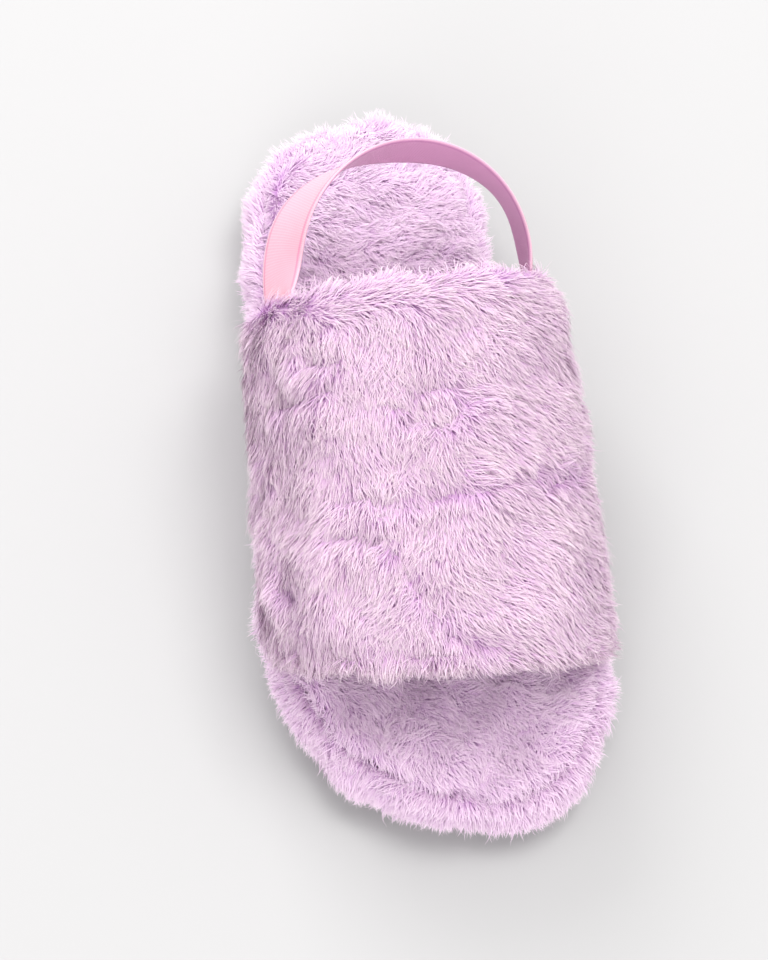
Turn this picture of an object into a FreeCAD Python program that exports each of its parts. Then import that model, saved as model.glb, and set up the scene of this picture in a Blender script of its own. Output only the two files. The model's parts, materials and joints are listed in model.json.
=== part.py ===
import FreeCAD, Part
import math
import os

# A fluffy sling-back house slipper for the right foot.
# x points to the inner side of the foot, y to the heel and z up; the origin is the middle of the tread.

# Sole outline, from the middle of the heel along the inner side to the toe and back along the outer side.
sole_points = [
    (4, 124.5),
    (29, 110),
    (33.5, 88),
    (30, 45),
    (37, -15),
    (47, -68),
    (45.5, -97),
    (33, -118),
    (14, -124.5),
    (-8, -119),
    (-31, -103),
    (-45, -76),
    (-46, -40),
    (-39, 25),
    (-36, 75),
    (-29, 109),
]
half_length = 124.5
outline_steps = 32

# Levels above the ground at mid-length. Above the outsole they rise towards the heel.
outsole_top = 5.0
margin_top = 6.5
midsole_top = 20.0
foam_top = 24.0
seam_level = 27.5
footbed_top = 34.5
vamp_base = 28.2
heel_rise = 0.14

# Tread ribs run across the sole.
rib_pitch = 2.0
groove_width = 1.0
groove_depth = 1.2
tread_border = 2.5

# Fur band round the platform, as (growth beyond the sole outline, level).
band_outside = [(4, 3), (9, 8), (11, 16), (9.5, 23), (5, 27.5)]
band_inside = 1.2
band_bottom = 3.0
margin_width = 13.0
band_slot = 0.5
platform_growth = 1.0
footbed_outside = [(1.0, 27.7), (1.2, 30.5), (-0.4, 33.4), (-5, 34.5)]
footbed_plug = 0.8
footbed_room = 1.5
footbed_seam_growth = 3.2
footbed_stitches = 60
stitch_length = 6.0
band_seam_growth = (2.2, 3.7)
band_seam_levels = (7.5, 25.5)
thread = 0.5
glue_line = 0.1
fit_gap = 0.2
overrun = 1.0

# Vamp: an arch over the foot. Its edges are given where they meet the platform, on the middle line.
lining_front = -68.0
lining_rear = 54.0
fur_front = -75.0
fur_rear = 56.0
front_lean = 25.0
rear_lean = 20.0
front_skew = 0.1
front_crown = 42.0
rear_crown = 64.0
inner_bulge = (44.0, 46.0)
outer_bulge = (43.0, 38.5)
base_growth = 2.0
bulge_height = 0.42
shoulder_height = 0.87
shoulder_width = 0.68
arch_steps = 11
lining_layer = (0.0, 1.5)
foam_layer = (1.6, 4.5)
fur_layer = (4.6, 15.0)
base_pinch = 0.45
edge_pinch = 0.4
pinch_power = 8
foam_setback = 20.0
lining_sections = 5
fur_sections = 9
edge_thread_reach = (0.02, 0.98)
platform_reach = 31.0

# Elastic strap: fixed ends inside the vamp and a loop that swings about the line through both ends.
strap_width = 20.0
strap_layer = (2.2, 3.5)
strap_thickness = 1.3
strap_place = (0.19, 0.795)
strap_tab = (35.0, 66.0)
stitch_rows = (39.0, 46.0)
stitch_margin = 2.0
hinge_y = 55.5
hinge_z = 64.0
hinge_gap = 0.5
loop_sides = (-36.0, 48.5)
loop_depth = 39.0
loop_rise = 45.0
outer_lean = 40.0
inner_lean = -10.0
heel_lean = 5.0
outer_twist_power = 0.75
inner_twist_power = 2.0
loop_steps = 12
turn_step = 0.001


def vector(x, y, z):
    return FreeCAD.Vector(x, y, z)


def spline(points, closed=False):
    curve = Part.BSplineCurve()
    curve.interpolate(Points=points, PeriodicFlag=closed)
    return curve


def spread(low, high, count):
    return [low + (high - low) * i / (count - 1) for i in range(count)]


def raised(y, level):
    """Height of a level at y: the platform is thicker at the heel than at the toe."""
    if level <= outsole_top:
        return level
    return outsole_top + (level - outsole_top) * (1 + heel_rise * y / half_length)


sole = spline([vector(x, y, 0) for x, y in sole_points], closed=True)


def outline(growth, level):
    """Closed wire round the sole, moved outwards by growth and lifted to a level."""
    points = []
    for i in range(outline_steps):
        u = sole.FirstParameter + (sole.LastParameter - sole.FirstParameter) * i / outline_steps
        along = sole.tangent(u)[0]
        point = sole.value(u) + vector(-along.y, along.x, 0) * growth
        points.append(vector(point.x, point.y, raised(point.y, level)))
    return Part.Wire(spline(points, closed=True).toShape())


def layer(sections):
    """Solid through outlines given as (growth, level), from the lowest up."""
    wires = [outline(growth, level) for growth, level in sections]
    return Part.makeLoft(wires, True, len(sections) == 2)


def wall(growth, bottom, top):
    return layer([(growth, bottom), (growth, top)])


def box(low, high):
    size = [b - a for a, b in zip(low, high)]
    return Part.makeBox(size[0], size[1], size[2], vector(low[0], low[1], low[2]))


def save(name, shape):
    shape.exportStep(f"parts/{name}.step")


def make_outsole():
    half_count = int(half_length / rib_pitch)
    grooves = []
    for i in range(-half_count, half_count):
        y = (i + 0.5) * rib_pitch
        low = (-half_length, y - groove_width / 2, -overrun)
        high = (half_length, y + groove_width / 2, groove_depth)
        grooves.append(box(low, high))
    field = wall(-tread_border, -overrun, groove_depth + overrun)
    grooves = field.common(Part.makeCompound(grooves))
    return wall(0, 0, outsole_top).cut(grooves)


def make_midsole():
    inside_margin = band_inside - margin_width - fit_gap
    return wall(platform_growth, margin_top, midsole_top).fuse(wall(inside_margin, outsole_top, margin_top))


def heel_slot():
    """Thin gap at the middle of the heel, where the two ends of the band meet."""
    middle = sole_points[0][0]
    low = (middle - band_slot / 2, half_length - 2 * margin_width, 0)
    high = (middle + band_slot / 2, half_length + 2 * margin_width, half_length)
    return box(low, high)


def make_side_band():
    band = layer(band_outside).cut(wall(band_inside, band_bottom - overrun, seam_level + overrun))
    margin = wall(band_inside + overrun, outsole_top, margin_top)
    margin = margin.cut(wall(band_inside - margin_width, outsole_top - overrun, margin_top + overrun))
    return band.fuse(margin).cut(heel_slot())


def make_band_seam_thread():
    low, high = band_seam_levels
    ring = wall(band_seam_growth[1], low, high)
    ring = ring.cut(wall(band_seam_growth[0], low - overrun, high + overrun))
    return ring.common(heel_slot())


def make_footbed_cover():
    return layer(footbed_outside).fuse(wall(footbed_plug, foam_top, seam_level + overrun))


def make_footbed_seam_thread():
    """Separate straight stitches that close the seam between the band and the footbed cover."""
    stitches = []
    for i in range(footbed_stitches):
        u = sole.FirstParameter + (sole.LastParameter - sole.FirstParameter) * (i + 0.5) / footbed_stitches
        along = sole.tangent(u)[0]
        place = sole.value(u) + vector(-along.y, along.x, 0) * footbed_seam_growth
        stitch = box((-stitch_length / 2, -thread / 2, 0), (stitch_length / 2, thread / 2, thread))
        stitch.rotate(vector(0, 0, 0), vector(0, 0, 1), math.degrees(math.atan2(along.y, along.x)))
        stitch.translate(vector(place.x, place.y, raised(place.y, seam_level) + glue_line))
        stitches.append(stitch)
    return Part.makeCompound(stitches)


def sole_edge(y, side):
    """Distance from the middle line to the sole's edge on the inner (1) or outer (-1) side."""
    ray = Part.LineSegment(vector(0, y, 0), vector(side * half_length, y, 0))
    return abs(sole.intersectCC(ray)[0].X)


def between(pair, share):
    return pair[0] + (pair[1] - pair[0]) * share


def arch_plane(y):
    """Share of the way from the vamp's front to its rear, and how far the arch leans and skews there."""
    share = (y - lining_front) / (lining_rear - lining_front)
    lean = math.tan(math.radians(between((front_lean, rear_lean), share)))
    return share, lean, front_skew * (1 - share)


def arch(y):
    """Inside line of the vamp, from its outer base over the crown to its inner base."""
    share, lean, skew = arch_plane(y)
    crown = between((front_crown, rear_crown), share)
    halves = []
    for side, bulge in ((-1, between(outer_bulge, share)), (1, between(inner_bulge, share))):
        base = sole_edge(y, side) + base_growth
        shoulder = bulge * shoulder_width
        halves.append([(side * base, 0), (side * bulge, bulge_height), (side * shoulder, shoulder_height)])
    points = []
    for x, rise in halves[0] + [(sum(h[1][0] for h in halves) / 2, 1)] + halves[1][::-1]:
        up = rise * crown
        points.append(vector(x, y - skew * x - lean * up, raised(y, vamp_base) + up))
    return spline(points).toShape()


def arch_point(line, y, share, offset):
    """Point on the arch line at y, moved outwards in the arch's leaning plane."""
    u = line.getParameterByLength(share * line.Length)
    lean, skew = arch_plane(y)[1:]
    outwards = vector(-skew, -1, -lean).normalize().cross(line.tangentAt(u))
    return line.valueAt(u) + outwards * offset


def arch_profile(y, reach, inside, thickness, pinch=1.0):
    """Closed section of one vamp layer; pinch is the share of its thickness left at the two bases."""
    line = arch(y)
    inner = []
    outer = []
    for share in spread(reach[0], reach[1], arch_steps):
        fullness = 1 - (1 - pinch) * (2 * share - 1) ** pinch_power
        inner.append(arch_point(line, y, share, inside))
        outer.append(arch_point(line, y, share, inside + thickness * fullness))
    edges = [
        spline(inner).toShape(),
        Part.LineSegment(inner[-1], outer[-1]).toShape(),
        spline(outer).toShape(),
        Part.LineSegment(outer[0], inner[0]).toShape(),
    ]
    return Part.Wire(edges)


def above_platform(shape):
    """A vamp layer cut back to the top of the side band and to the rim of the footbed cover."""
    shape = shape.cut(wall(platform_reach, 0, vamp_base))
    return shape.cut(wall(footbed_room, vamp_base - overrun, footbed_top + overrun))


def arch_layer(front, rear, limits, reach=(0, 1), count=lining_sections):
    profiles = []
    for y in spread(front, rear, count):
        profiles.append(arch_profile(y, reach, limits[0], limits[1] - limits[0]))
    return Part.makeLoft(profiles, True, False)


def make_vamp_fur():
    profiles = []
    for place in spread(-1, 1, fur_sections):
        y = between((fur_front, fur_rear), (place + 1) / 2)
        thickness = (fur_layer[1] - fur_layer[0]) * (1 - (1 - edge_pinch) * place ** pinch_power)
        profiles.append(arch_profile(y, (0, 1), fur_layer[0], thickness, base_pinch))
    return above_platform(Part.makeLoft(profiles, True, False))


def make_edge_thread(y):
    """Line of stitches along one edge of the vamp, in the fold between lining and fur."""
    limits = (lining_layer[1], lining_layer[1] + thread)
    return arch_layer(y, y + thread, limits, edge_thread_reach, 2)


def strap_reach(side, width):
    """Stretch of the arch line that a strip of this width covers at the strap's place."""
    middle = strap_place[0] if side < 0 else strap_place[1]
    half = width / 2 / arch(stitch_rows[1]).Length
    return (middle - half, middle + half)


def hinge_rod(radius):
    """Solid round bar along the line that the strap swings about."""
    start = vector(-half_length, hinge_y, hinge_z)
    return Part.makeCylinder(radius, 2 * half_length, start, vector(1, 0, 0))


def make_strap_end(side):
    reach = strap_reach(side, strap_width)
    tab = arch_layer(strap_tab[0], strap_tab[1], strap_layer, reach)
    strap_room = hinge_y - strap_width / 2 - hinge_gap
    return tab.cut(box((-half_length, strap_room, 0), (half_length, half_length, half_length)))


def make_strap_stitches(side):
    reach = strap_reach(side, strap_width - 2 * stitch_margin)
    limits = (strap_layer[1] + glue_line, strap_layer[1] + glue_line + thread)
    rows = [arch_layer(y, y + thread, limits, reach, 2) for y in stitch_rows]
    return Part.makeCompound(rows)


def strap_middle(turn):
    """Middle line of the loop; turn runs from -1 at the outer end to 1 at the inner end."""
    angle = math.pi / 2 * turn
    back = loop_depth * math.cos(angle)
    rise = math.radians(loop_rise)
    x = between(loop_sides, (1 + math.sin(angle)) / 2)
    return vector(x, hinge_y + back * math.cos(rise), hinge_z + back * math.sin(rise))


def strap_section(middle, along, turn):
    """Rectangle across the strap; it stands almost upright at the heel and twists towards its ends."""
    twist = abs(turn) ** (outer_twist_power if turn < 0 else inner_twist_power)
    side = math.radians(outer_lean if turn < 0 else -inner_lean) * twist
    forwards = math.radians(between((heel_lean, loop_rise), twist))
    up = vector(math.sin(side), -math.cos(side) * math.sin(forwards), math.cos(side) * math.cos(forwards))
    up = (up - along * up.dot(along)).normalize() * (strap_width / 2)
    out = along.cross(up).normalize() * (strap_thickness / 2)
    corners = [middle + up + out, middle + up - out, middle - up - out, middle - up + out]
    return Part.makePolygon(corners + corners[:1])


def make_sling_strap():
    rise = math.radians(loop_rise)
    backwards = vector(0, math.cos(rise), math.sin(rise))
    lead = backwards * (strap_width / 2 + overrun)
    sections = [strap_section(strap_middle(-1) - lead, backwards, -1)]
    for turn in spread(-1, 1, loop_steps + 1):
        ahead = strap_middle(min(turn + turn_step, 1))
        behind = strap_middle(max(turn - turn_step, -1))
        sections.append(strap_section(strap_middle(turn), (ahead - behind).normalize(), turn))
    sections.append(strap_section(strap_middle(1) - lead, backwards * -1, 1))
    loop = Part.makeLoft(sections, True, False)
    behind_hinge = Part.makeBox(2 * half_length, half_length, 2 * half_length)
    behind_hinge.translate(vector(-half_length, 0, -half_length))
    behind_hinge.rotate(vector(0, 0, 0), vector(1, 0, 0), loop_rise)
    behind_hinge.translate(vector(0, hinge_y, hinge_z))
    return loop.common(behind_hinge.fuse(hinge_rod(strap_width / 2)))


os.makedirs("parts", exist_ok=True)
save("outsole", make_outsole())
save("midsole", make_midsole())
save("side_band", make_side_band())
save("band_seam_thread", make_band_seam_thread())
save("footbed_foam", wall(platform_growth - glue_line, midsole_top, foam_top))
save("footbed_cover", make_footbed_cover())
save("footbed_seam_thread", make_footbed_seam_thread())
save("vamp_lining", above_platform(arch_layer(lining_front, lining_rear, lining_layer)))
save("vamp_foam", above_platform(arch_layer(lining_front, lining_rear - foam_setback, foam_layer)))
save("vamp_fur", make_vamp_fur())
save("vamp_front_thread", make_edge_thread(lining_front - 2 * thread))
save("vamp_rear_thread", make_edge_thread(lining_rear + thread))
for side_name, side in (("outer", -1), ("inner", 1)):
    save(f"strap_end_{side_name}", make_strap_end(side))
    save(f"strap_stitches_{side_name}", make_strap_stitches(side))
save("sling_strap", make_sling_strap())
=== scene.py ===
import json
import math
import bpy
import numpy as np
from mathutils import Matrix, Vector
from mathutils.bvhtree import BVHTree
from mathutils.kdtree import KDTree


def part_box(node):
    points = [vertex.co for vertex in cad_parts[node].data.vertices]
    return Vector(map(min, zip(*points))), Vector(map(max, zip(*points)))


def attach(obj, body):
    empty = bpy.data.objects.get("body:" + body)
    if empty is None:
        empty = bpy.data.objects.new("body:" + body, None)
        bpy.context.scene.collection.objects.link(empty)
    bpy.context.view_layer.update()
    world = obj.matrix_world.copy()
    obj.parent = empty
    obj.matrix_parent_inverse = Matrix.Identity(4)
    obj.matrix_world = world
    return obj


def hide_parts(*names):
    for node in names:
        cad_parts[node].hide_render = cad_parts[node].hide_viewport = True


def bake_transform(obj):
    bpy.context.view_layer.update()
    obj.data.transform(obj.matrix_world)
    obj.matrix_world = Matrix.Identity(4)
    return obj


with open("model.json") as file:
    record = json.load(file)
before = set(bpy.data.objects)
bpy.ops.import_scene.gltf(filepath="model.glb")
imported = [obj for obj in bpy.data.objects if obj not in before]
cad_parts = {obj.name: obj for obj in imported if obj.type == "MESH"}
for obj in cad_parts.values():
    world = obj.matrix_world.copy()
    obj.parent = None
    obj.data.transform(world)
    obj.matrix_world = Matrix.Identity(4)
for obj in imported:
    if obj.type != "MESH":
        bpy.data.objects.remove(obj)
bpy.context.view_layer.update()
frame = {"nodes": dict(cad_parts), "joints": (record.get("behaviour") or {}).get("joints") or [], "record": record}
nodes = frame["nodes"]
print("frame loaded:", len(nodes), "nodes")

mm = 0.001

# one socket, so that maths on it reads as maths
class Flow:
    def __init__(self, tree, socket):
        self.tree = tree
        self.socket = socket

    def maths(self, operation, other, swapped=False):
        first, second = (other, self) if swapped else (self, other)
        return self.tree.node("ShaderNodeMath", {"operation": operation}, {0: first, 1: second})[0]

    def __add__(self, other):
        return self.maths("ADD", other)

    def __sub__(self, other):
        return self.maths("SUBTRACT", other)

    def __mul__(self, other):
        return self.maths("MULTIPLY", other)

    def __truediv__(self, other):
        return self.maths("DIVIDE", other)

    def __rsub__(self, other):
        return self.maths("SUBTRACT", other, swapped=True)

    __radd__ = __add__
    __rmul__ = __mul__


# one material and its nodes
class Finish:
    def __init__(self, name):
        self.material = bpy.data.materials.new(name)
        self.material.use_nodes = True
        self.tree = self.material.node_tree
        self.tree.nodes.clear()

    def node(self, kind, settings=None, sockets=None):
        made = self.tree.nodes.new(kind)
        for key, value in (settings or {}).items():
            if key == "stops":
                ramp = made.color_ramp.elements
                while len(ramp) < len(value):
                    ramp.new(0.5)
                for stop, (place, colour) in zip(ramp, value):
                    stop.position = place
                    stop.color = colour
            else:
                setattr(made, key, value)
        for key, value in (sockets or {}).items():
            if isinstance(value, Flow):
                self.tree.links.new(value.socket, made.inputs[key])
            else:
                made.inputs[key].default_value = value
        return [Flow(self, socket) for socket in made.outputs]

    def attribute(self, name):
        return self.node("ShaderNodeAttribute", {"attribute_name": name})[2]

    def place(self):
        return self.node("ShaderNodeTexCoord")[3]

    def noise(self, scale, detail=2.0):
        sockets = {"Vector": self.place(), "Scale": scale, "Detail": detail}
        return self.node("ShaderNodeTexNoise", {}, sockets)[0]

    def mix(self, factor, a, b, blend="MIX"):
        settings = {"data_type": "RGBA", "blend_type": blend}
        return self.node("ShaderNodeMix", settings, {0: factor, 6: a, 7: b})[2]

    def ramp(self, value, stops):
        return self.node("ShaderNodeValToRGB", {"stops": stops}, {0: value})[0]

    def bump(self, height, strength, distance):
        sockets = {"Height": height, "Strength": strength, "Distance": distance}
        return self.node("ShaderNodeBump", {}, sockets)[0]

    def surface(self, sockets):
        shader = self.node("ShaderNodeBsdfPrincipled", {}, sockets)[0]
        self.node("ShaderNodeOutputMaterial", {}, {0: shader})
        return self.material


def grey(value):
    return (value, value, value, 1)


furLook = {
    # the hairs darken towards this root colour: painted shade deep in the pile
    "root": (0.520, 0.235, 0.580, 1),
    "middle": (0.690, 0.480, 0.660, 1),
    "tip": (0.765, 0.680, 0.690, 1),
    "warm": (0.800, 0.640, 0.670, 1),
    "paintedLightMiddle": (0.790, 0.570, 0.780, 1),      # the footbed and the band are painted paler: painted light, to brighten them
    "paintedLightTip": (0.890, 0.770, 0.850, 1),
    "roughness": 0.8,
    "sheen": 0.04,
}


def furFinish(name, middle, tip):
    f = Finish(name)
    along = f.attribute("along")
    tone = f.attribute("tone")
    # dark at the root, pale at the tip: painted shade deep in the pile
    base = f.ramp(along, [(0.0, furLook["root"]), (0.42, middle), (0.95, tip)])
    # tone darkens the pile towards the root colour and takes away the warm tint: random tone of the locks, and
    # painted shade in creases and in wandering patches
    shaded = f.mix(0.02 + tone * 0.15, base, furLook["root"])
    colour = f.mix(0.10 * (1 - tone), shaded, furLook["warm"])
    return f.surface({
        "Base Color": colour, "Roughness": furLook["roughness"], "Specular IOR Level": 0.06,
        "Sheen Weight": furLook["sheen"], "Sheen Roughness": 0.45, "Sheen Tint": (1, 0.93, 1, 1),
    })


def backingFinish():
    f = Finish("pileBacking")
    patches = f.noise(90.0, 3.0)
    fibres = f.noise(1400.0, 2.0)
    # the backing takes the dark root colour: painted shade at the foot of the pile
    colour = f.mix(patches, furLook["root"], furLook["middle"])
    colour = f.mix(fibres * 0.5, colour, furLook["middle"])
    return f.surface({
        "Base Color": colour, "Roughness": 0.92, "Specular IOR Level": 0.1,
        "Normal": f.bump(fibres, 0.6, 0.0006),
    })


def waves(points, size, seed, count=9):
    # a wandering value, mostly between -1 and 1, that changes over the given size
    draw = np.random.default_rng(seed)
    ways = draw.normal(size=(count, 3))
    ways /= np.linalg.norm(ways, axis=1)[:, None]
    turns = draw.uniform(0.6, 1.7, count) * 2 * math.pi / size
    phases = draw.uniform(0, 2 * math.pi, count)
    return np.sin(points @ ways.T * turns + phases).sum(axis=1) / math.sqrt(count)


def unit(vectors):
    return vectors / np.maximum(np.linalg.norm(vectors, axis=1), 1e-9)[:, None]


def meshArrays(obj):
    mesh = obj.data
    mesh.calc_loop_triangles()
    points = np.empty(len(mesh.vertices) * 3)
    mesh.vertices.foreach_get("co", points)
    corners = np.empty(len(mesh.loop_triangles) * 3, np.int32)
    mesh.loop_triangles.foreach_get("vertices", corners)
    normals = np.empty(len(mesh.vertices) * 3)
    mesh.vertices.foreach_get("normal", normals)
    return points.reshape(-1, 3), corners.reshape(-1, 3), normals.reshape(-1, 3)


def treeOf(names):
    points = []
    faces = []
    for name in names:
        own, corners, _ = meshArrays(nodes[name])
        faces += (corners + len(points)).tolist()
        points += own.tolist()
    return BVHTree.FromPolygons(points, faces)


def nearCrease(places, creases):
    # distance of each point to the nearest crease, and the way to it; the creases waver a little
    waver = [0.0016 * waves(places, 0.013, 70 + k) for k in range(3)]
    points = places + np.stack(waver, axis=1)
    best = np.full(len(points), 1.0)
    way = np.zeros((len(points), 3))
    for crease in creases:
        line = np.array(crease) * mm
        for start, end in zip(line[:-1], line[1:]):
            run = end - start
            share = np.clip((points - start) @ run / (run @ run), 0, 1)
            gap = points - (start + share[:, None] * run)
            distance = np.linalg.norm(gap, axis=1)
            closer = distance < best
            best[closer] = distance[closer]
            way[closer] = gap[closer]
    return best, unit(way)


def makeSkin(name, node, look, body):
    # the knitted backing: the CAD solid's surface, evened out and drawn in so that the pile fills its place
    source = nodes[node]
    skin = bpy.data.objects.new(name, source.data.copy())
    bpy.context.scene.collection.objects.link(skin)
    remesh = skin.modifiers.new("even", "REMESH")
    remesh.mode = "VOXEL"
    remesh.voxel_size = look["voxel"]
    smooth = skin.modifiers.new("smooth", "SMOOTH")
    smooth.factor = 0.5
    smooth.iterations = 6
    graph = bpy.context.evaluated_depsgraph_get()
    graph.update()
    mesh = bpy.data.meshes.new_from_object(skin.evaluated_get(graph))
    skin.modifiers.clear()
    skin.data = mesh
    mesh.name = name
    points, _, normals = meshArrays(skin)
    others = treeOf([n for n in nodes if n != node and "thread" not in n and "stitches" not in n])
    own = BVHTree.FromPolygons(points.tolist(), [list(p.vertices) for p in mesh.polygons])
    furry = np.ones(len(points))
    depth = np.zeros(len(points))
    for i, (p, n) in enumerate(zip(points, normals)):
        place = Vector(p)
        out = Vector(n)
        hit = others.ray_cast(place - out * look["voxel"] * 0.5, out, look["clear"])
        if hit[0] is not None:
            furry[i] = 0
            continue
        back = own.ray_cast(place - out * 0.0004, -out, 0.03)
        depth[i] = look["inset"] if back[0] is None else min(look["inset"], 0.45 * back[3])
        gap = others.find_nearest(place)[3]
        depth[i] *= min(1, max(0.1, (gap - 0.0005) / look["join"]))
    shift = -depth * furry
    shift += furry * look["swell"] * waves(points, look["swellSize"], look["seed"])
    if look["creases"]:
        distance, _ = nearCrease(points, look["creases"])
        shift -= furry * look["creaseDepth"] * np.exp(-(distance / look["creaseWidth"]) ** 2)
    points = points + normals * shift[:, None]
    mesh.vertices.foreach_set("co", points.ravel())
    mark = mesh.attributes.new("furry", "FLOAT", "POINT")
    mark.data.foreach_set("value", furry.astype(np.float32))
    mesh.update()
    mesh.polygons.foreach_set("use_smooth", [True] * len(mesh.polygons))
    mesh.materials.clear()
    mesh.materials.append(backing)
    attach(skin, body)
    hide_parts(node)
    print(name, len(mesh.vertices), "vertices,", int(furry.sum()), "furry")
    return skin


def scatter(skin, count, seed):
    # roots spread evenly over the furry faces
    points, corners, normals = meshArrays(skin)
    furry = np.empty(len(points), np.float32)
    skin.data.attributes["furry"].data.foreach_get("value", furry)
    triangle = points[corners]
    area = np.linalg.norm(np.cross(triangle[:, 1] - triangle[:, 0], triangle[:, 2] - triangle[:, 0]), axis=1)
    area *= furry[corners].max(axis=1) > 0.5
    draw = np.random.default_rng(seed)
    chosen = draw.choice(len(corners), count, p=area / area.sum())
    a = np.sqrt(draw.random(count))
    b = draw.random(count)
    share = np.stack([1 - a, a * (1 - b), a * b], axis=1)
    place = (triangle[chosen] * share[:, :, None]).sum(axis=1)
    normal = unit((normals[corners][chosen] * share[:, :, None]).sum(axis=1))
    return place, normal


def nearest(places, centres):
    tree = KDTree(len(centres))
    for i, centre in enumerate(centres):
        tree.insert(centre, i)
    tree.balance()
    return np.array([tree.find(place)[1] for place in places])


# how much hairs, locks and tufts differ from each other, on every piece
hair = {
    "tuftVary": 0.16,
    "lockVary": 0.14,
    "tuftLiftVary": 0.25,
    "lockLiftVary": 0.22,
    "lay": 0.95,              # how far a hair reaches over the skin for its length
    "creasePull": 0.6,
    "creaseReach": 2.2,       # in widths of the crease
    "wild": 0.16,
    "spread": 0.18,           # how far the tips of a lock stay apart
    "curl": 0.10,
    "steps": (0.0, 0.38, 0.72, 1.0),
    "taper": (0.55, 0.5, 0.34),
    "lowest": 0.0007,         # no hair goes under the floor
    "shortest": 0.003,
    "roomShare": 1.3,
}


def growPile(name, skin, look, body, blocked):
    # tapered locks of hair, each hair a ribbon of three spans
    count = look["hairs"]
    place, normal = scatter(skin, count, look["seed"] + 1)
    centre, centreNormal = scatter(skin, look["locks"], look["seed"] + 2)
    tuft, tuftNormal = scatter(skin, look["tufts"], look["seed"] + 3)
    draw = np.random.default_rng(look["seed"] + 4)

    def stream(points, normals):
        flow = look["flow"](points, normals)
        flow = unit(flow - normals * (flow * normals).sum(axis=1)[:, None])
        side = np.cross(normals, flow)
        angle = look["wander"] * waves(points, look["wanderSize"], look["seed"] + 5)
        angle += look["ruffle"] * waves(points, look["ruffleSize"], look["seed"] + 6)
        flow = flow * np.cos(angle)[:, None] + side * np.sin(angle)[:, None]
        if look["creases"]:
            distance, away = nearCrease(points, look["creases"])
            reachOut = hair["creaseReach"] * look["creaseWidth"]
            pull = hair["creasePull"] * np.exp(-(distance / reachOut) ** 2)
            away = away - normals * (away * normals).sum(axis=1)[:, None]
            flow = unit(flow + unit(away) * pull[:, None])
        return flow

    def reach(points, normals, length, lift, lay):
        # where a hair of this length ends
        flow = stream(points, normals)
        return points + normals * (length * lift)[:, None] + flow * (length * lay)[:, None]

    lockOf = nearest(place, centre)
    tuftOf = nearest(centre, tuft)
    low, high = look["length"]
    tuftLength = (low + high) / 2 * (1 + hair["tuftVary"] * draw.normal(size=len(tuft)))
    lengthVary = 1 + hair["lockVary"] * draw.normal(size=len(centre))
    lockLength = np.clip(tuftLength[tuftOf] * lengthVary, low, high)
    tuftLift = np.clip(look["lift"] * (1 + hair["tuftLiftVary"] * draw.normal(size=len(tuft))), 0.15, 0.85)
    liftVary = 1 + hair["lockLiftVary"] * draw.normal(size=len(centre))
    lockLift = np.clip(tuftLift[tuftOf] * liftVary, 0.12, 0.9)
    lockLay = np.sqrt(np.maximum(1 - lockLift ** 2, 0.1)) * hair["lay"]
    tuftEnd = reach(tuft, tuftNormal, tuftLength, tuftLift, np.sqrt(1 - tuftLift ** 2) * hair["lay"])
    lockEnd = reach(centre, centreNormal, lockLength, lockLift, lockLay)
    toTuft = (tuftEnd - tuft)[tuftOf] + centre - lockEnd
    lockEnd = lockEnd + toTuft * look["tuftPull"]
    toCentre = tuftEnd[tuftOf] - lockEnd
    lockEnd += toCentre * look["tuftGather"]

    length = lockLength[lockOf] * draw.uniform(0.82, 1.08, count)
    room = np.full(count, 0.05)
    for i in range(count):
        hit = blocked.ray_cast(Vector(place[i] + normal[i] * 0.0015), Vector(normal[i]), 0.03)
        if hit[0] is not None:
            room[i] = hit[3]
    length = np.minimum(length, np.maximum(room * hair["roomShare"], hair["shortest"]))
    lift = lockLift[lockOf] * draw.uniform(0.85, 1.15, count)
    lay = np.sqrt(np.maximum(1 - lift ** 2, 0.1)) * hair["lay"]
    flow = stream(place, normal)
    stray = draw.normal(size=(count, 3)) * hair["wild"]
    flow = unit(flow + stray)
    end = place + normal * (length * lift)[:, None] + flow * (length * lay)[:, None]
    gather = look["gather"] * draw.uniform(0.55, 1.0, count)
    gather[draw.random(count) < look["stray"]] *= 0.15
    target = lockEnd[lockOf] + (place - centre[lockOf]) * hair["spread"]
    end = end + (target - end) * gather[:, None]
    reachLength = np.linalg.norm(end - place, axis=1)
    end = place + (end - place) * np.minimum(1, length / np.maximum(reachLength, 1e-6))[:, None]

    # the hair rises first and then lies over
    rise = normal * (length * look["arch"])[:, None]
    curl = np.cross(normal, unit(end - place)) * (length * hair["curl"] * draw.normal(size=count))[:, None]
    spine = []
    for t in hair["steps"]:
        bow = 4 * t * (1 - t)
        spine.append(place + (end - place) * t + rise * bow + curl * bow)
    spine = np.stack(spine, axis=1)
    spine[:, :, 2] = np.maximum(spine[:, :, 2], hair["lowest"])
    ways = unit(end - place)
    across = np.cross(ways, normal)
    roll = draw.normal(size=count) * look["roll"]
    across = unit(unit(across) * np.cos(roll)[:, None] + normal * np.sin(roll)[:, None])
    width = look["width"] * draw.uniform(0.7, 1.25, count)
    verts = np.empty((count, 7, 3), np.float32)
    for i in range(3):
        half = across * (width * hair["taper"][i])[:, None]
        verts[:, 2 * i] = spine[:, i] - half
        verts[:, 2 * i + 1] = spine[:, i] + half
    verts[:, 6] = spine[:, 3]
    faces = np.array([[0, 1, 2], [1, 3, 2], [2, 3, 4], [3, 5, 4], [4, 5, 6]])
    corners = (faces[None] + (np.arange(count) * 7)[:, None, None]).reshape(-1)

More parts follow.
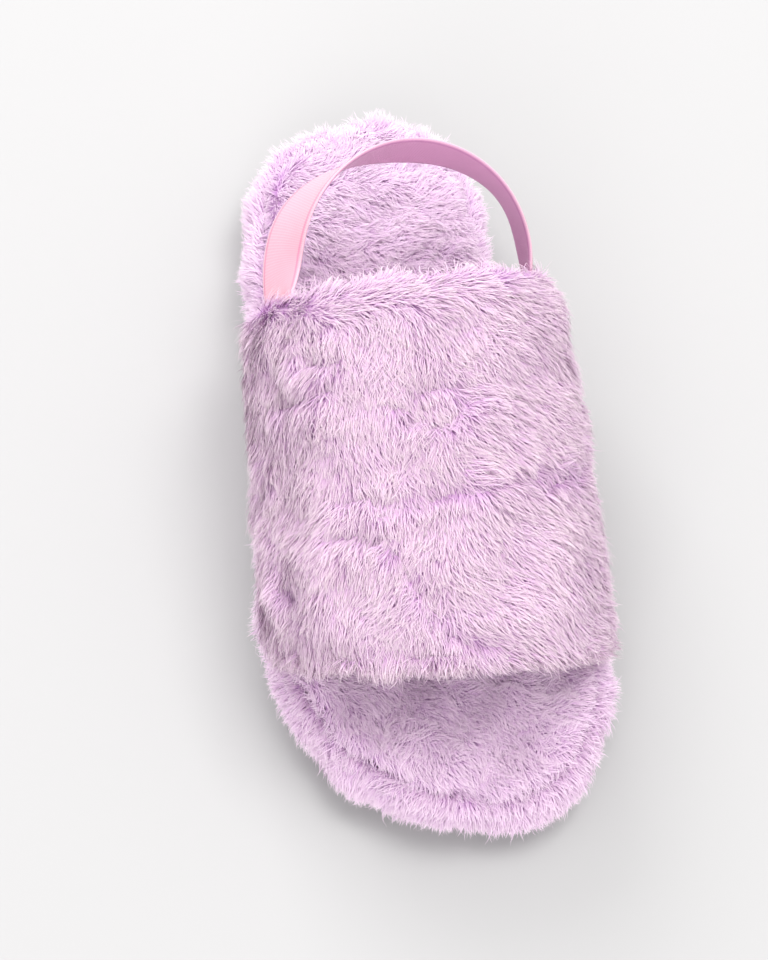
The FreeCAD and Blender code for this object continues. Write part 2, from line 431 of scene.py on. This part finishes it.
    mesh = bpy.data.meshes.new(name)
    mesh.vertices.add(count * 7)
    mesh.vertices.foreach_set("co", verts.ravel())
    mesh.loops.add(len(corners))
    mesh.loops.foreach_set("vertex_index", corners.astype(np.int32))
    mesh.polygons.add(count * 5)
    mesh.polygons.foreach_set("loop_start", (np.arange(count * 5) * 3).astype(np.int32))
    mesh.polygons.foreach_set("use_smooth", np.ones(count * 5, bool))
    mesh.update(calc_edges=True)
    along = np.tile(np.repeat(hair["steps"], 2)[:-1], (count, 1))
    # wandering patches of painted shadow over the pile
    shadow = np.clip(look["shade"] * (0.5 + 0.5 * waves(place, look["shadeSize"], look["seed"] + 7)), 0, 1)
    tone = 0.6 * draw.random(len(centre))[lockOf] + 0.2 * draw.random(count) + 0.5 * shadow
    # hairs near a crease are painted darker: painted shade in the crease
    if look["creases"]:
        distance, _ = nearCrease(place, look["creases"])
        tone = tone + 1.8 * np.exp(-(distance / look["creaseWidth"]) ** 2)
    for key, values in (("along", along), ("tone", np.repeat(tone[:, None], 7, axis=1))):
        layer = mesh.attributes.new(key, "FLOAT", "POINT")
        layer.data.foreach_set("value", values.astype(np.float32).ravel())
    # one cell of the map for each hair
    side = math.ceil(math.sqrt(count))
    column = (np.arange(count) % side)[:, None]
    line = (np.arange(count) // side)[:, None]
    u = (column + np.array([0.2, 0.8, 0.2, 0.8, 0.2, 0.8, 0.5])) / side
    v = (line + 0.1 + 0.8 * along) / side
    uv = np.stack([u, v], axis=2).reshape(-1, 2)[corners]
    mesh.uv_layers.new(name="OFBake").data.foreach_set("uv", uv.astype(np.float32).ravel())
    # shading leans towards the skin's normal, so the pile reads as one soft mass
    flat = np.cross(across, ways)
    flat *= np.sign((flat * normal).sum(axis=1))[:, None]
    soft = unit(flat * (1 - look["soft"]) + normal * look["soft"])
    mesh.normals_split_custom_set_from_vertices(np.repeat(soft, 7, axis=0).tolist())
    mesh.materials.append(look["pile"])
    piece = bpy.data.objects.new(name, mesh)
    bpy.context.scene.collection.objects.link(piece)
    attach(piece, body)
    print(name, count, "hairs")


# creases where the pile parts, in mm, over the top of the vamp
vampCreases = [
    [(-46, 0, 79), (-39, -2, 88), (-31, -1, 94)],
    [(-2, -9, 100), (9, -8, 100), (14, -10, 99)],
    [(-6, -15, 99), (3, -20, 98), (10, -21, 97), (17, -12, 98)],
    [(-27, -39, 89), (-20, -42, 91), (-9, -43, 92), (6, -43, 93),
     (22, -42, 91), (41, -38, 83), (54, -32, 67)],
    [(-34, -51, 84), (-23, -53, 88)],
    [(-15, -60, 88), (-8, -69, 87), (-5, -80, 84), (0, -88, 82), (6, -92, 80)],
    [(-53, -38, 61), (-53, -53, 60), (-50, -63, 62)],
    [(-37, 10, 91), (-27, 6, 96)],
]

vampBrush = {
    "halfWidth": 0.05,
    "edgeSlope": 0.38,        # the rear edge leans forwards by this much for each step up
    "edgeHeight": 0.028,
    "fringeStart": 0.044,
    "fringeReach": 0.016,
    "waver": 0.0035,
    "waverSize": 0.022,
    "outerWall": 0.046,       # no fringe on the outer wall
    "outerReach": 0.012,
    "turnIn": 0.0042,         # this close to the rear edge the pile turns in
    "turnReach": 0.0015,
    "openingHeight": 0.045,
}
vampPoints = meshArrays(nodes["vamp_fur"])[0]
rearEdge = (vampPoints[:, 1] + vampBrush["edgeSlope"] * vampPoints[:, 2]).max()


def vampFlow(points, normals):
    # down towards the toe, and outwards over the inner side
    brush = vampBrush
    x = points[:, 0] / brush["halfWidth"]
    turn = np.clip((x + 0.1) / 1.1, 0, 1)
    flow = np.zeros_like(points)
    flow[:, 0] = np.where(x > 0, 1.25 * turn, 0.30 * x)
    flow[:, 1] = -1 + 0.45 * turn
    flow[:, 2] = -0.25 - 0.5 * np.clip(np.abs(x) - 0.6, 0, 1)
    # the last stretch before the rear edge is brushed back and up
    behind = points[:, 1] + brush["edgeSlope"] * (points[:, 2] - brush["edgeHeight"])
    behind += brush["waver"] * waves(points, brush["waverSize"], 5)
    back = np.clip((behind - brush["fringeStart"]) / brush["fringeReach"], 0, 1)
    back *= np.clip((points[:, 0] + brush["outerWall"]) / brush["outerReach"], 0, 1)
    back = back[:, None]
    aside = np.stack([np.full(len(x), 1.0), np.zeros(len(x)), -x], axis=1)
    flow = flow * (1 - back) + np.array([0.6, 0.8, 0.5]) * back + aside * (3 * back * (1 - back))
    # and over the edge itself it lies inwards, to the lining
    short = points[:, 1] + brush["edgeSlope"] * points[:, 2] - rearEdge + brush["turnIn"]
    edge = np.clip(short / brush["turnReach"], 0, 1)[:, None]
    down = brush["openingHeight"] - points[:, 2]
    inwards = unit(np.stack([-points[:, 0], np.zeros(len(x)), down], axis=1))
    return unit(flow) * (1 - edge) + inwards * edge


def bandFlow(points, normals):
    # outwards and down, a little towards the heel
    flow = np.zeros_like(points)
    flow[:, 0] = points[:, 0] / 0.05
    flow[:, 1] = points[:, 1] / 0.13 + 0.15
    flow = unit(flow)
    flow[:, 2] = -0.8
    return flow


def footbedFlow(points, normals):
    # across and towards the toe on the flat, and down where it rounds over to the seam
    flow = np.zeros_like(points)
    flow[:, 0] = 0.8 + 0.9 * (points[:, 0] / 0.05) ** 3
    flow[:, 1] = -0.6 + 0.8 * (points[:, 1] / 0.13) ** 3
    flat = np.clip((normals[:, 2] - 0.55) / 0.3, 0, 1)[:, None]
    return unit(flow) * flat + np.array([0, 0, -1.0]) * (1 - flat)


vampFur = {
    "voxel": 0.0018, "clear": 0.002, "join": 0.006, "inset": 0.0034,
    "swell": 0.0009, "swellSize": 0.028, "seed": 11, "under": ["side_band"],
    "creases": vampCreases, "creaseDepth": 0.0027, "creaseWidth": 0.0036,
    "hairs": 39500, "locks": 15000, "tufts": 700, "length": (0.0055, 0.0100), "lift": 0.27, "arch": 0.10,
    "flow": vampFlow, "wander": 0.36, "wanderSize": 0.055, "ruffle": 0.26, "ruffleSize": 0.016,
    "tuftPull": 0.35, "tuftGather": 0.08, "gather": 0.72, "stray": 0.14, "width": 0.00026, "roll": 0.3,
    "shade": 0.6, "shadeSize": 0.03, "soft": 0.9,
}
bandFur = {
    "voxel": 0.0018, "clear": 0.002, "join": 0.006, "inset": 0.0034,
    "swell": 0.0010, "swellSize": 0.030, "seed": 31, "under": ["vamp_fur", "vamp_lining"], "creases": [],
    "hairs": 39500, "locks": 14000, "tufts": 700, "length": (0.0055, 0.0095), "lift": 0.28, "arch": 0.09,
    "flow": bandFlow, "wander": 0.45, "wanderSize": 0.050, "ruffle": 0.30, "ruffleSize": 0.015,
    "tuftPull": 0.35, "tuftGather": 0.08, "gather": 0.70, "stray": 0.15, "width": 0.00026, "roll": 0.3,
    "shade": 0.6, "shadeSize": 0.03, "soft": 0.9,
}
footbedFur = {
    "voxel": 0.0018, "clear": 0.002, "join": 0.006, "inset": 0.0024,
    "swell": 0.0010, "swellSize": 0.026, "seed": 51, "under": ["vamp_fur", "vamp_lining"], "creases": [],
    "hairs": 39500, "locks": 13000, "tufts": 800, "length": (0.0045, 0.0080), "lift": 0.36, "arch": 0.10,
    "flow": footbedFlow, "wander": 0.75, "wanderSize": 0.040, "ruffle": 0.55, "ruffleSize": 0.012,
    "tuftPull": 0.30, "tuftGather": 0.10, "gather": 0.72, "stray": 0.16, "width": 0.00025, "roll": 0.35,
    "shade": 0.8, "shadeSize": 0.024, "soft": 0.88,
}

upperPile = furFinish("lilacPile", furLook["middle"], furLook["tip"])
# a paler copy of the pile for the footbed and the band: painted light
lowerPile = furFinish("lilacPilePaintedLight", furLook["paintedLightMiddle"], furLook["paintedLightTip"])
backing = backingFinish()
layersPerPiece = 3
for title, node, look in (
    ("vamp", "vamp_fur", vampFur),
    ("band", "side_band", bandFur),
    ("footbed", "footbed_cover", footbedFur),
):
    skin = makeSkin(title + "Backing", node, look, "slipper")
    blocked = treeOf(look["under"])
    for layer in range(layersPerPiece):
        pile = upperPile if title == "vamp" else lowerPile
        own = {**look, "seed": look["seed"] + 100 * layer, "pile": pile}
        growPile(title + "Pile" + "ABC"[layer], skin, own, "slipper", blocked)


strap = {
    "width": 0.020,
    "thickness": 0.0013,
    "sides": (-0.0360, 0.0485),     # where the loop leaves the vamp
    "depth": 0.039,
    "rise": 45,
    "outerLean": 40,
    "innerLean": -10,
    "heelLean": 5,
    "outerTwist": 0.75,
    "innerTwist": 2.0,
    "endStep": 0.010,               # where the tab path stops, short of the loop
    "smoothing": 60,
    "bead": 0.00022,
    "ribPitch": 1.3,                # mm
    "pickPitch": 0.95,
    "lineStart": 7.2,               # mm from the middle of the web
    "lineReach": 2.8,
    "turns": 72,
    "ribs": 16,
    "outer": (0.700, 0.310, 0.400, 1),
    "outerPale": (0.800, 0.460, 0.540, 1),
    "inner": (0.690, 0.330, 0.540, 1),
    "innerDark": (0.620, 0.275, 0.480, 1),
    "innerLine": (0.480, 0.180, 0.370, 1),
    "edge": (0.610, 0.220, 0.350, 1),
    # pale colour along the web's edges: painted highlight
    "rim": (0.800, 0.520, 0.620, 1),
}


def strapFinish():
    f = Finish("elasticWeb")
    across = f.attribute("across")       # mm from the outer edge
    along = f.attribute("along")         # mm along the strap
    face = f.attribute("face")           # 1 on the outer side
    ribTurn = across * (2 * math.pi / strap["ribPitch"])
    ribs = f.node("ShaderNodeMath", {"operation": "SINE"}, {0: ribTurn})[0]
    slant = (along + across * 0.5) * (2 * math.pi / strap["pickPitch"])
    picks = f.node("ShaderNodeMath", {"operation": "SINE"}, {0: slant})[0]
    weave = ribs * picks
    middle = f.node("ShaderNodeMath", {"operation": "ABSOLUTE"}, {0: across - strap["width"] / mm / 2})[0]
    outwards = (middle - strap["lineStart"]) / strap["lineReach"]
    lineStops = [(0.0, grey(0)), (0.22, grey(0)), (0.38, grey(1)), (0.56, grey(1)), (0.68, grey(0))]
    lineNear = f.ramp(outwards, lineStops)
    # a pale rim along both edges of the web: painted highlight on its rounded edges
    rim = f.ramp(outwards, [(0.0, grey(0)), (0.70, grey(0)), (0.84, grey(1))])
    patches = f.noise(60.0, 2.0)
    outer = f.mix(0.45 + weave * 0.40 + (patches - 0.5) * 0.5, strap["outer"], strap["outerPale"])
    outer = f.mix(lineNear * 0.75, outer, strap["edge"])
    inner = f.mix(0.5 + weave * 0.25, strap["inner"], strap["innerDark"])
    inner = f.mix(lineNear * 0.6, inner, strap["innerLine"])
    colour = f.mix(rim * 0.6, f.mix(face, inner, outer), strap["rim"])
    height = weave * 0.5 + ribs * 0.3 - lineNear * 0.7
    return f.surface({
        "Base Color": colour, "Roughness": 0.62, "Specular IOR Level": 0.35,
        "Sheen Weight": 0.3, "Sheen Roughness": 0.4, "Sheen Tint": (1, 0.9, 0.95, 1),
        "Normal": f.bump(height, 0.5, 0.00012),
    })


def tabPath(node):
    # middle and width direction of a sewn end, front to rear, from its CAD solid
    points = meshArrays(nodes[node])[0]
    low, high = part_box(node)
    path = []
    for y in np.linspace(low.y + 0.001, high.y - strap["endStep"], 4):
        near = points[np.argsort(np.abs(points[:, 1] - y))[:24]]
        middle = near.mean(axis=0)
        way = np.linalg.svd(near - middle)[2][0]
        path.append((middle, way))
    return path


def loopPath(count):
    hinge = frame["joints"][0]["pos_m"]
    rise = math.radians(strap["rise"])
    path = []
    for turn in np.linspace(-1, 1, count):
        angle = math.pi / 2 * turn
        back = strap["depth"] * math.cos(angle)
        low, high = strap["sides"]
        middle = np.array([
            low + (high - low) * (1 + math.sin(angle)) / 2,
            hinge[1] + back * math.cos(rise),
            hinge[2] + back * math.sin(rise),
        ])
        twist = abs(turn) ** (strap["outerTwist"] if turn < 0 else strap["innerTwist"])
        side = math.radians(strap["outerLean"] if turn < 0 else -strap["innerLean"]) * twist
        forwards = math.radians(strap["heelLean"] + (strap["rise"] - strap["heelLean"]) * twist)
        up = np.array([
            math.sin(side),
            -math.cos(side) * math.sin(forwards),
            math.cos(side) * math.cos(forwards),
        ])
        path.append((middle, up))
    return path


def smoothPath(path, count):
    # even points along a path, rounded where the sewn ends meet the loop
    points = np.array([p for p, _ in path])
    ways = np.array([w for _, w in path])
    for i in range(1, len(ways)):
        if ways[i] @ ways[i - 1] < 0:
            ways[i] = -ways[i]
    run = np.concatenate([[0], np.cumsum(np.linalg.norm(np.diff(points, axis=0), axis=1))])
    even = np.linspace(0, run[-1], count)
    points = np.stack([np.interp(even, run, points[:, k]) for k in range(3)], axis=1)
    ways = np.stack([np.interp(even, run, ways[:, k]) for k in range(3)], axis=1)
    for _ in range(strap["smoothing"]):
        points[1:-1] = (points[:-2] + points[1:-1] * 2 + points[2:]) / 4
        ways[1:-1] = (ways[:-2] + ways[1:-1] * 2 + ways[2:]) / 4
    return points, ways, even


def makeStrap():
    outer = tabPath("strap_end_outer")
    inner = tabPath("strap_end_inner")[::-1]
    loop = loopPath(49)
    path = outer + loop[1:-1] + inner
    count = strap["turns"] * 2
    points, ways, run = smoothPath(path, count)
    along = unit(np.gradient(points, axis=0))
    up = unit(ways - along * (ways * along).sum(axis=1)[:, None])
    if up[count // 2][2] < 0:
        up = -up
    out = unit(np.cross(along, up))
    if out[count // 2] @ np.array([0, 1, 0]) < 0:
        out = -out
    columns = np.linspace(-1, 1, strap["ribs"] + 1)
    verts = []
    across = []
    alongMm = []
    face = []
    half = strap["width"] / 2
    for i in range(count):
        for sign in (1, -1):
            order = columns if sign > 0 else columns[::-1]
            for c in order:
                edge = max(0.0, (abs(c) - 0.86) / 0.14)
                bead = strap["bead"] * math.exp(-((abs(c) - 0.80) / 0.035) ** 2)
                thick = strap["thickness"] / 2 * math.sqrt(max(1 - edge ** 2, 0.05))
                verts.append(points[i] + up[i] * c * half + out[i] * sign * (thick + bead))
                across.append((c + 1) * half / mm)
                alongMm.append(run[i] / mm)
                face.append(1.0 if sign > 0 else 0.0)
    ring = 2 * len(columns)
    faces = []
    for i in range(count - 1):
        for k in range(ring):
            a = i * ring + k
            b = i * ring + (k + 1) % ring
            faces.append((a, b, b + ring, a + ring))
    faces.append(tuple(range(ring))[::-1])
    faces.append(tuple(range((count - 1) * ring, count * ring)))
    mesh = bpy.data.meshes.new("slingStrap")
    mesh.from_pydata([tuple(v) for v in verts], [], faces)
    mesh.update()
    for key, values in (("across", across), ("along", alongMm), ("face", face)):
        mesh.attributes.new(key, "FLOAT", "POINT").data.foreach_set("value", np.array(values, np.float32))
    mesh.polygons.foreach_set("use_smooth", [True] * len(mesh.polygons))
    mesh.materials.append(strapFinish())
    piece = bpy.data.objects.new("slingStrap", mesh)
    bpy.context.scene.collection.objects.link(piece)
    return piece


slingStrap = makeStrap()
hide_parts("sling_strap", "strap_end_outer", "strap_end_inner")
print("strap made")


rubber = {
    "black": (0.012, 0.011, 0.013, 1),
    "dusty": (0.040, 0.037, 0.042, 1),
    "grain": (0.055, 0.052, 0.058, 1),
}


def rubberFinish():
    f = Finish("treadRubber")
    grain = f.noise(2600.0, 3.0)
    dust = f.noise(45.0, 4.0)
    colour = f.mix(f.ramp(dust, [(0.45, grey(0)), (0.8, grey(1))]), rubber["black"], rubber["dusty"])
    colour = f.mix(grain * 0.35, colour, rubber["grain"])
    return f.surface({
        "Base Color": colour, "Roughness": 0.50 + dust * 0.22, "Specular IOR Level": 0.42,
        "Normal": f.bump(grain, 0.35, 0.00015),
    })


def foamFinish(name, colour, cell):
    f = Finish(name)
    cells = f.node("ShaderNodeTexVoronoi", {}, {"Vector": f.place(), "Scale": cell})[0]
    dark = tuple(0.8 * c for c in colour[:3]) + (1,)
    shade = f.mix(f.ramp(cells, [(0.1, grey(0)), (0.6, grey(1))]), dark, colour)
    return f.surface({
        "Base Color": shade, "Roughness": 0.85, "Normal": f.bump(cells, 0.5, 0.0003),
    })


def clothFinish(name, colour, pitch):
    f = Finish(name)
    place = f.place()
    coarse = f.node("ShaderNodeTexWave", {"wave_type": "BANDS", "bands_direction": "X"}, {
        "Vector": place, "Scale": pitch, "Distortion": 1.5, "Detail": 2.0})[1]
    cross = f.node("ShaderNodeTexWave", {"wave_type": "BANDS", "bands_direction": "Y"}, {
        "Vector": place, "Scale": pitch, "Distortion": 1.5, "Detail": 2.0})[1]
    nap = f.noise(900.0, 3.0)
    weave = coarse * cross
    dark = tuple(0.6 * c for c in colour[:3]) + (1,)
    shade = f.mix(weave * 0.6 + nap * 0.4, dark, colour)
    return f.surface({
        "Base Color": shade, "Roughness": 0.9, "Sheen Weight": 0.3,
        "Normal": f.bump(weave + nap * 0.6, 0.5, 0.0003),
    })


finishes = {
    "tread_rubber": rubberFinish(),
    "moulded_foam": foamFinish("mouldedFoam", (0.80, 0.77, 0.82, 1), 900.0),
    "soft_foam": foamFinish("softFoam", (0.86, 0.82, 0.70, 1), 1500.0),
    "lining_cloth": clothFinish("liningKnit", (0.56, 0.36, 0.58, 1), 260.0),
    "sewing_thread": clothFinish("sewingThread", (0.60, 0.38, 0.62, 1), 900.0),
}
for part in frame["record"]["subparts"]:
    finish = finishes.get(part["material_slot"])
    if finish is None:
        continue
    mesh = nodes[part["node"]].data
    if mesh.materials:
        for i in range(len(mesh.materials)):
            mesh.materials[i] = finish
    else:
        mesh.materials.append(finish)
print("finishes set")


lights = {
    "world": 1.0,
    "worldColour": (1.0, 0.985, 0.99, 1),
    # place, watts, width, colour; each looks at the target
    "lamps": [
        ((0.70, 0.30, 2.30), 33.0, 1.10, (1.0, 0.99, 0.98)),
        ((-0.70, -1.80, 1.40), 21.0, 1.40, (1.0, 0.985, 0.99)),
        ((-0.50, 1.90, 1.50), 40.0, 1.40, (1.0, 0.985, 0.99)),
    ],
    "floorColour": (0.440, 0.442, 0.442, 1),
    "floorShade": (0.430, 0.432, 0.432, 1),
    "floorSize": 1.7,     # half a side
}

# the slipper seen from above its toe, turned a little to its outer side
camera = {
    "target": (0, 0, 0.035),
    "turn": -14.14,       # degrees about Z
    "tilt": 66.31,        # degrees down
    "roll": 6.06,
    "distance": 0.8566,
    "aside": (0.0076, 0.0130),
    "lens": 92.99,
    "sensor": 36,
}


def makeFloor():
    size = lights["floorSize"]
    mesh = bpy.data.meshes.new("floor")
    corners = [(-size, -size, 0), (size, -size, 0), (size, size, 0), (-size, size, 0)]
    mesh.from_pydata(corners, [], [(0, 1, 2, 3)])
    f = Finish("paleFloor")
    cloudy = f.noise(3.0, 2.0)
    colour = f.mix(cloudy * 0.3, lights["floorColour"], lights["floorShade"])
    mesh.materials.append(f.surface({"Base Color": colour, "Roughness": 0.8}))
    floor = bpy.data.objects.new("floor", mesh)
    bpy.context.scene.collection.objects.link(floor)


def aim(obj, place, target):
    obj.location = place
    obj.rotation_euler = (Vector(target) - Vector(place)).to_track_quat("-Z", "Y").to_euler()


def makeLights():
    world = bpy.data.worlds.new("studio")
    bpy.context.scene.world = world
    world.use_nodes = True
    background = world.node_tree.nodes["Background"]
    background.inputs["Color"].default_value = lights["worldColour"]
    background.inputs["Strength"].default_value = lights["world"]
    for i, (place, power, size, colour) in enumerate(lights["lamps"]):
        lamp = bpy.data.lights.new(f"softbox{i}", "AREA")
        lamp.energy = power
        lamp.size = size
        lamp.color = colour
        obj = bpy.data.objects.new(f"softbox{i}", lamp)
        bpy.context.scene.collection.objects.link(obj)
        aim(obj, place, camera["target"])


def makeCamera():
    turn = math.radians(camera["turn"])
    tilt = math.radians(camera["tilt"])
    roll = math.radians(camera["roll"])
    right = Vector((math.cos(turn), math.sin(turn), 0))
    ahead = Vector((-math.sin(turn) * math.cos(tilt), math.cos(turn) * math.cos(tilt), -math.sin(tilt)))
    up = right.cross(ahead)
    right, up = (
        right * math.cos(roll) + up * math.sin(roll),
        up * math.cos(roll) - right * math.sin(roll),
    )
    place = Vector(camera["target"]) - ahead * camera["distance"]
    place -= right * camera["aside"][0] + up * camera["aside"][1]
    data = bpy.data.cameras.new("camera")
    data.lens = camera["lens"]
    data.sensor_width = camera["sensor"]
    data.sensor_fit = "AUTO"
    data.clip_start = 0.01
    obj = bpy.data.objects.new("camera", data)
    bpy.context.scene.collection.objects.link(obj)
    turnMatrix = Matrix((right, up, -ahead)).transposed().to_4x4()
    obj.matrix_world = Matrix.Translation(place) @ turnMatrix
    bpy.context.scene.camera = obj


makeFloor()
makeLights()
makeCamera()
print("floor, lights and camera set")
bpy.context.scene.view_settings.view_transform = "Standard"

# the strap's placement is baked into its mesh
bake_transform(slingStrap)

print("scene complete")
